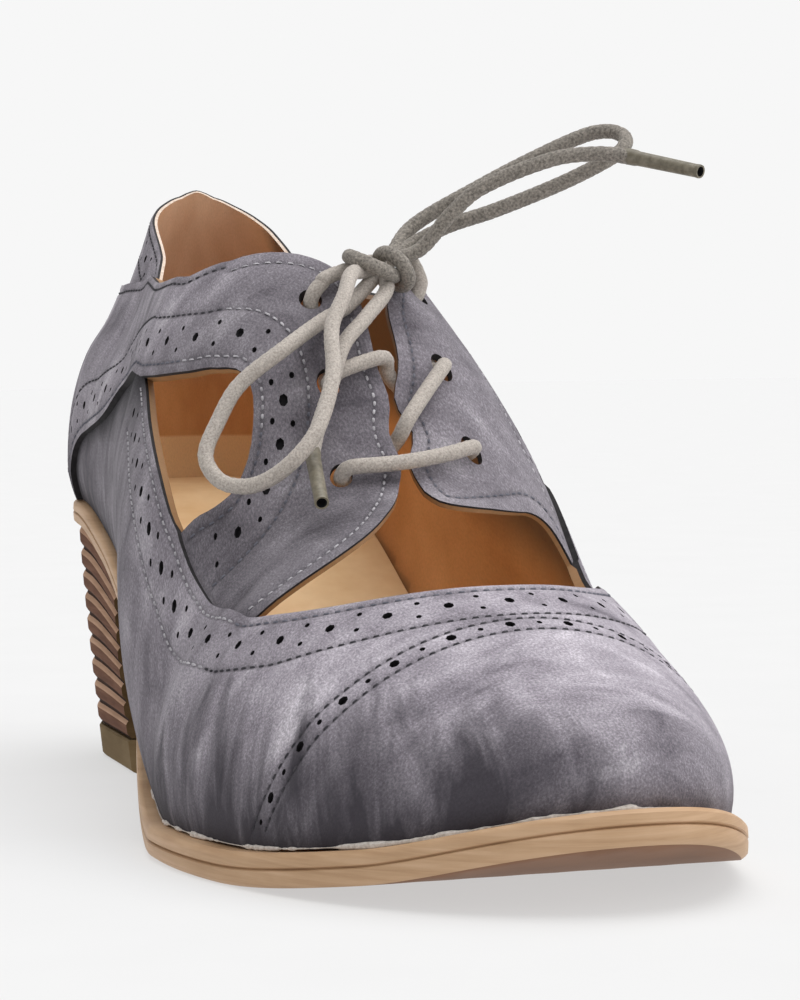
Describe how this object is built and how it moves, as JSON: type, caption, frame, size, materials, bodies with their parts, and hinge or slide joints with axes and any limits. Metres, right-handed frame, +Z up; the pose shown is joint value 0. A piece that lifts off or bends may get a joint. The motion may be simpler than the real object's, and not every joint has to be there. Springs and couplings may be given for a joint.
{
  "type": "heeled shoe",
  "caption": "Right-foot cut-out lace-up brogue in grey suede on a ribbed block heel, open at the collar, at both sides and over the toes, tied with a round cord bow.",
  "frame": {"origin": "on the floor, under the middle of the shoe's box, the free lace left out", "axes": "+Z up, the toe points to -Y, and the outer side of the foot is at -X"},
  "size_m": [0.1046, 0.2396, 0.1252],
  "materials": {
    "outsole": "waxed edge",
    "heel": "stacked, waxed",
    "top_lift": "satin",
    "upper": "mottled suede",
    "insole": "smooth",
    "lace": "waxed braid",
    "aglet": "satin"
  },
  "bodies": {
    "root": {"outsole": "outsole", "heel": "heel", "top_lift": "top_lift", "upper": "upper", "insole": "insole", "lace_crossings": "lace", "lace_knot": "lace", "lace_loop_lower": "lace", "lace_loop_upper": "lace", "lace_end_lower": "lace", "lace_end_upper": "lace", "aglet_lower": "aglet", "aglet_upper": "aglet"}
  },
  "joints": []
}
